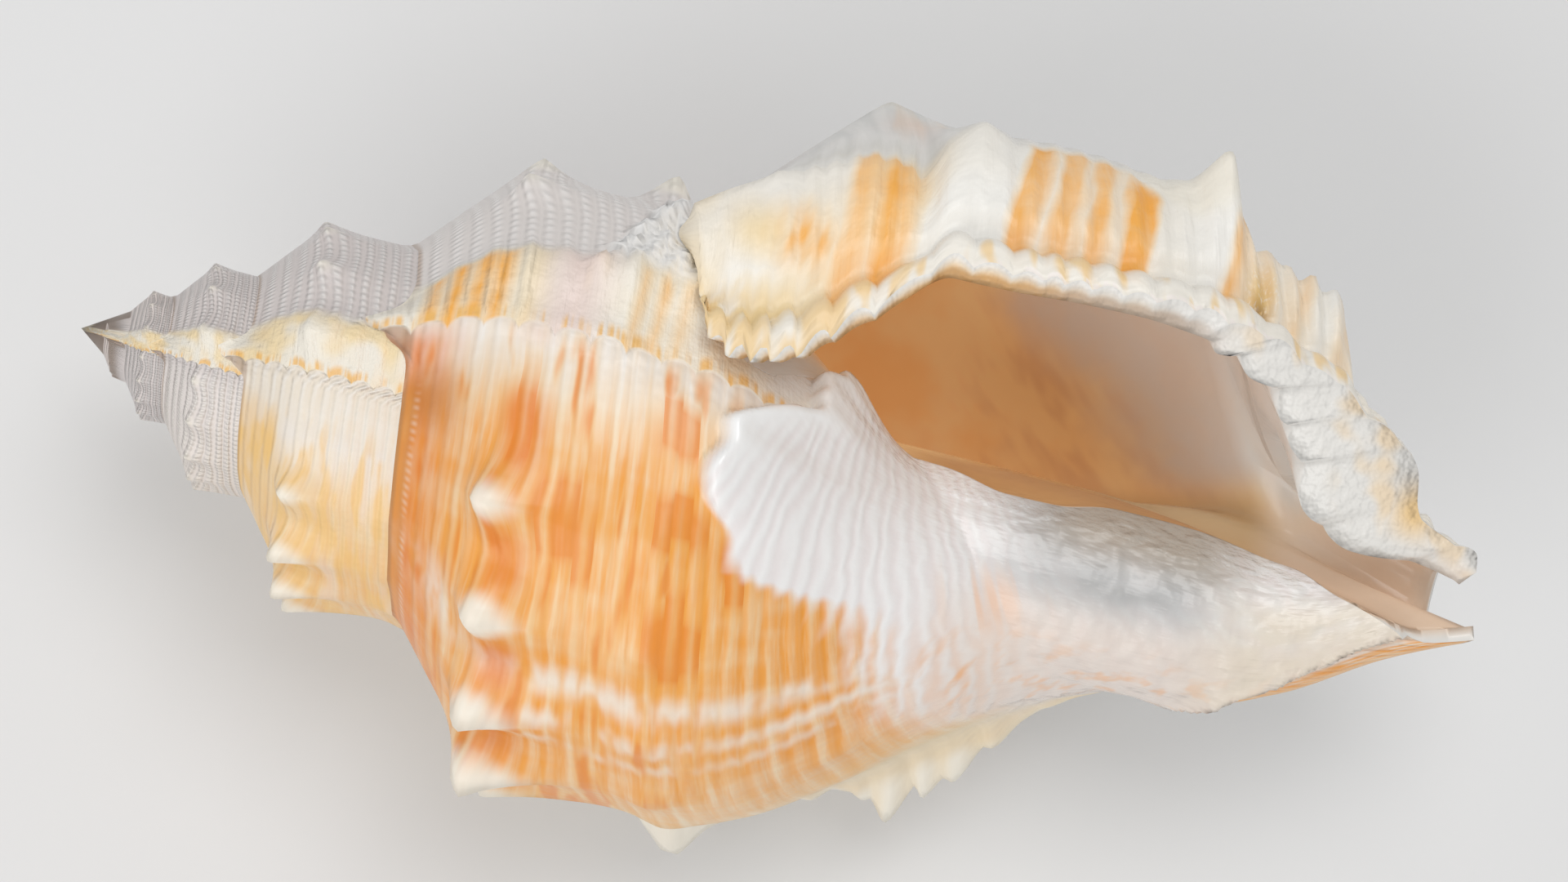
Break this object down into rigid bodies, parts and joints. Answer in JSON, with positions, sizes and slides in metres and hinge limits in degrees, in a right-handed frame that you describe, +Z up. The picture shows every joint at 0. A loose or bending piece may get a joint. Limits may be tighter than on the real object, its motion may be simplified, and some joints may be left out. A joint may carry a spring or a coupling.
{
  "type": "frog shell",
  "caption": "Frog shell lying with its aperture up: a knobbed spire, a body whorl with frilled lateral ridges, a glossy inner lip and an open canal",
  "frame": {"origin": "centre of the bounding box in X and Y, at the floor the shell lies on", "axes": "+X runs along the coil from the apex to the canal, +Y towards the outer lip, +Z up out of the aperture"},
  "size_m": [0.08, 0.0446, 0.0338],
  "materials": {
    "shell": "satin"
  },
  "bodies": {
    "root": {"shell": "shell"}
  },
  "joints": []
}
